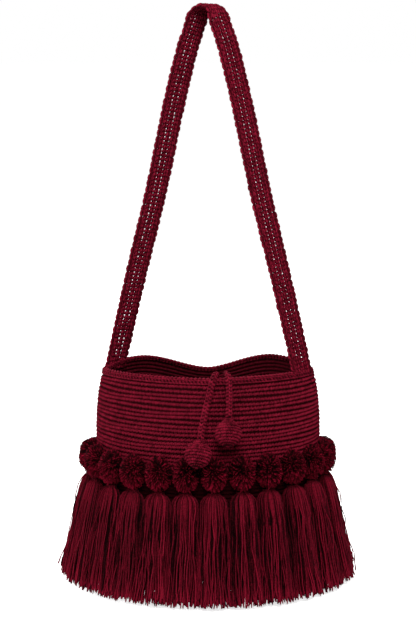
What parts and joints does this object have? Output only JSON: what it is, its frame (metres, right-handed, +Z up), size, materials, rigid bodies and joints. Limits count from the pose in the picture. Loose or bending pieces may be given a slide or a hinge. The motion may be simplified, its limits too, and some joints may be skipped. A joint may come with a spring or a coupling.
{
  "type": "mochila bag",
  "caption": "Crocheted bucket shoulder bag in burgundy cotton, with a folded band strap, a ring of pompoms and hanging tassels, and two closing ties with ball ends.",
  "frame": {"origin": "underside of the strap's fold, where a peg or a hand carries the hanging bag", "axes": "+Z up along the hanging bag, +X to the right seen from the front, -Y towards the front with the two ties"},
  "size_m": [0.3565, 0.2896, 0.6842],
  "materials": {
    "crochet_cotton": "matte ribbed crochet",
    "strap_cotton": "matte openwork crochet",
    "pompom_yarn": "matte cut yarn",
    "tassel_yarn": "matte loose yarn",
    "tie_cotton": "matte crocheted cord"
  },
  "bodies": {
    "root": {"bag_body": "crochet_cotton", "strap": "strap_cotton", "pompom_01": "pompom_yarn", "pompom_02": "pompom_yarn", "pompom_03": "pompom_yarn", "pompom_04": "pompom_yarn", "pompom_05": "pompom_yarn", "pompom_06": "pompom_yarn", "pompom_07": "pompom_yarn", "pompom_08": "pompom_yarn", "pompom_09": "pompom_yarn", "pompom_10": "pompom_yarn", "pompom_11": "pompom_yarn", "pompom_12": "pompom_yarn", "pompom_13": "pompom_yarn", "pompom_14": "pompom_yarn", "pompom_15": "pompom_yarn", "pompom_16": "pompom_yarn", "pompom_17": "pompom_yarn", "pompom_18": "pompom_yarn", "pompom_19": "pompom_yarn", "pompom_20": "pompom_yarn", "pompom_21": "pompom_yarn", "pompom_22": "pompom_yarn", "pompom_23": "pompom_yarn", "pompom_24": "pompom_yarn", "tassel_01": "tassel_yarn", "tassel_02": "tassel_yarn", "tassel_03": "tassel_yarn", "tassel_04": "tassel_yarn", "tassel_05": "tassel_yarn", "tassel_06": "tassel_yarn", "tassel_07": "tassel_yarn", "tassel_08": "tassel_yarn", "tassel_09": "tassel_yarn", "tassel_10": "tassel_yarn", "tassel_11": "tassel_yarn", "tassel_12": "tassel_yarn", "tassel_13": "tassel_yarn", "tassel_14": "tassel_yarn", "tassel_15": "tassel_yarn", "tassel_16": "tassel_yarn", "tassel_17": "tassel_yarn", "tassel_18": "tassel_yarn", "tassel_19": "tassel_yarn", "tassel_20": "tassel_yarn", "tassel_21": "tassel_yarn", "tassel_22": "tassel_yarn", "tassel_23": "tassel_yarn", "tassel_24": "tassel_yarn", "tie_cord_left": "tie_cotton", "tie_ball_left": "tie_cotton", "tie_cord_right": "tie_cotton", "tie_ball_right": "tie_cotton"}
  },
  "joints": []
}
